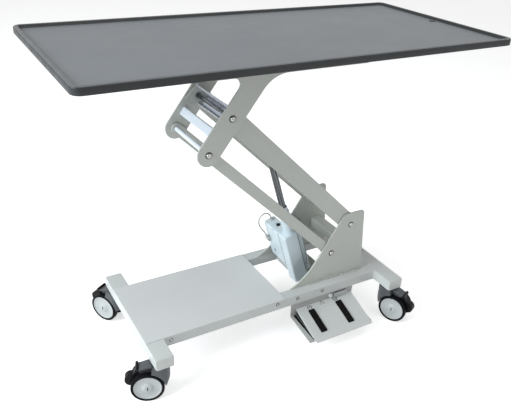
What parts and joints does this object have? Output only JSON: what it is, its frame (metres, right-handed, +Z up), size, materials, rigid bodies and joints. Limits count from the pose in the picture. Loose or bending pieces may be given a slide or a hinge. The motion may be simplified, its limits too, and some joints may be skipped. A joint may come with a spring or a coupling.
{
  "type": "veterinary exam table",
  "caption": "Powered lift table with a dark rimmed tray top on a parallelogram arm lift, an electric actuator, a foot switch and braked twin-wheel casters.",
  "frame": {"origin": "on the floor under the middle of the tray top, at the bottom centre of the bounding box, with the lift raised as in the picture", "axes": "+X along the length towards the pedestal end, +Y away from the foot-switch side, +Z up"},
  "size_m": [1.3, 0.6, 1.0025],
  "materials": {
    "tray": "satin",
    "paint": "satin",
    "light_paint": "satin",
    "cap": "satin",
    "bright": "polished",
    "screw": "brushed",
    "bush": "satin",
    "actuator_case": "satin",
    "cable": "satin",
    "black_plastic": "satin",
    "tread": "matte",
    "hood": "satin",
    "disc": "satin",
    "tyre": "matte"
  },
  "bodies": {
    "base": {"base_frame": "paint", "base_deck": "paint", "crossbar_end_caps": "cap", "front_pedestal": "paint", "rear_pedestal": "paint", "pedestal_crossbar": "paint", "arm_lower_shaft": "bright", "link_lower_shaft": "bright", "base_screws": "screw", "actuator_mount": "paint", "actuator_pin": "bright", "foot_switch_bracket": "paint", "foot_switch_cover": "paint", "tread_pivot_pin": "bright", "foot_microswitches": "black_plastic", "foot_cable_gland": "cable"},
    "lift_arms": {"front_arm": "paint", "rear_arm": "paint", "arm_bushes": "bush", "arm_torsion_tube": "paint", "arm_channel": "paint", "rod_mount": "paint", "rod_pin": "bright"},
    "lower_links": {"front_link": "paint", "rear_link": "paint", "link_bushes": "bush"},
    "tabletop": {"tray_top": "tray", "top_frame": "paint", "front_bracket": "paint", "rear_bracket": "paint", "bracket_tie": "light_paint", "arm_upper_shaft": "bright", "link_upper_shaft": "light_paint", "top_screws": "screw"},
    "actuator": {"actuator_housing": "actuator_case", "actuator_motor": "actuator_case", "actuator_tube": "actuator_case", "control_box": "actuator_case", "box_cable": "cable", "cable_connectors": "cable"},
    "actuator_ram": {"actuator_rod": "bright", "rod_eye": "bright"},
    "raise_pedal": {"raise_tread": "tread"},
    "lower_pedal": {"lower_tread": "tread"},
    "front_left_caster": {"front_left_caster_hood": "hood"},
    "front_left_wheels": {"front_left_caster_wheels": "disc", "front_left_caster_tyres": "tyre"},
    "front_left_brake": {"front_left_caster_pedal": "black_plastic"},
    "front_right_caster": {"front_right_caster_hood": "hood"},
    "front_right_wheels": {"front_right_caster_wheels": "disc", "front_right_caster_tyres": "tyre"},
    "front_right_brake": {"front_right_caster_pedal": "black_plastic"},
    "rear_left_caster": {"rear_left_caster_hood": "hood"},
    "rear_left_wheels": {"rear_left_caster_wheels": "disc", "rear_left_caster_tyres": "tyre"},
    "rear_left_brake": {"rear_left_caster_pedal": "black_plastic"},
    "rear_right_caster": {"rear_right_caster_hood": "hood"},
    "rear_right_wheels": {"rear_right_caster_wheels": "disc", "rear_right_caster_tyres": "tyre"},
    "rear_right_brake": {"rear_right_caster_pedal": "black_plastic"}
  },
  "joints": [
    {"name": "lift", "type": "hinge", "parent": "base", "child": "lift_arms", "pos_m": [0.284, 0, 0.3625], "axis": [0, 1, 0], "range_deg": [-43.5, 0]},
    {"name": "link_swing", "type": "hinge", "parent": "base", "child": "lower_links", "pos_m": [0.214, 0, 0.2669], "axis": [0, 1, 0], "range_deg": [-43.5, 0]},
    {"name": "top_level", "type": "hinge", "parent": "lift_arms", "child": "tabletop", "pos_m": [-0.18532, 0, 0.80787], "axis": [0, 1, 0], "range_deg": [0, 43.5]},
    {"name": "actuator_swing", "type": "hinge", "parent": "base", "child": "actuator", "pos_m": [0.164, -0.025, 0.1175], "axis": [0, 1, 0], "range_deg": [-30, 0]},
    {"name": "rod_stroke", "type": "slide", "parent": "actuator", "child": "actuator_ram", "axis": [-0.3096, 0, 0.9509], "range_m": [-0.171, 0]},
    {"name": "raise_press", "type": "hinge", "parent": "base", "child": "raise_pedal", "pos_m": [0.113, -0.163, 0.08976], "axis": [1, 0, 0], "range_deg": [0, 2], "stiffness_Nm_per_rad": 2, "springref_deg": -2.86},
    {"name": "lower_press", "type": "hinge", "parent": "base", "child": "lower_pedal", "pos_m": [0.226, -0.163, 0.08976], "axis": [1, 0, 0], "range_deg": [0, 2], "stiffness_Nm_per_rad": 2, "springref_deg": -2.86},
    {"name": "front_left_swivel", "type": "hinge", "parent": "base", "child": "front_left_caster", "pos_m": [-0.4435, -0.195, 0.14], "axis": [0, 0, 1], "continuous": true},
    {"name": "front_left_roll", "type": "hinge", "parent": "front_left_caster", "child": "front_left_wheels", "pos_m": [-0.48059, -0.18002, 0.05], "axis": [-0.3746, -0.9272, 0], "continuous": true},
    {"name": "front_left_brake_press", "type": "hinge", "parent": "front_left_caster", "child": "front_left_brake", "pos_m": [-0.47873, -0.18076, 0.086], "axis": [-0.3746, -0.9272, 0], "range_deg": [0, 8]},
    {"name": "front_right_swivel", "type": "hinge", "parent": "base", "child": "front_right_caster", "pos_m": [0.4245, -0.195, 0.14], "axis": [0, 0, 1], "continuous": true},
    {"name": "front_right_roll", "type": "hinge", "parent": "front_right_caster", "child": "front_right_wheels", "pos_m": [0.4414, -0.23125, 0.05], "axis": [0.9063, 0.4226, 0], "continuous": true},
    {"name": "front_right_brake_press", "type": "hinge", "parent": "front_right_caster", "child": "front_right_brake", "pos_m": [0.44056, -0.22944, 0.086], "axis": [0.9063, 0.4226, 0], "range_deg": [0, 8]},
    {"name": "rear_left_swivel", "type": "hinge", "parent": "base", "child": "rear_left_caster", "pos_m": [-0.4435, 0.195, 0.14], "axis": [0, 0, 1], "continuous": true},
    {"name": "rear_left_roll", "type": "hinge", "parent": "rear_left_caster", "child": "rear_left_wheels", "pos_m": [-0.4647, 0.22892, 0.05], "axis": [-0.848, -0.5299, 0], "continuous": true},
    {"name": "rear_left_brake_press", "type": "hinge", "parent": "rear_left_caster", "child": "rear_left_brake", "pos_m": [-0.46364, 0.22723, 0.086], "axis": [-0.848, -0.5299, 0], "range_deg": [0, 8]},
    {"name": "rear_right_swivel", "type": "hinge", "parent": "base", "child": "rear_right_caster", "pos_m": [0.4245, 0.195, 0.14], "axis": [0, 0, 1], "continuous": true},
    {"name": "rear_right_roll", "type": "hinge", "parent": "rear_right_caster", "child": "rear_right_wheels", "pos_m": [0.46075, 0.1781, 0.05], "axis": [0.4226, 0.9063, 0], "continuous": true},
    {"name": "rear_right_brake_press", "type": "hinge", "parent": "rear_right_caster", "child": "rear_right_brake", "pos_m": [0.45894, 0.17894, 0.086], "axis": [0.4226, 0.9063, 0], "range_deg": [0, 8]}
  ],
  "couplings": [
    {"joint": "link_swing", "follows": "lift", "ratio": 1},
    {"joint": "top_level", "follows": "lift", "ratio": -1},
    {"joint": "actuator_swing", "follows": "lift", "ratio": 0.6875},
    {"joint": "rod_stroke", "follows": "lift", "m_per_rad": 0.2248}
  ]
}
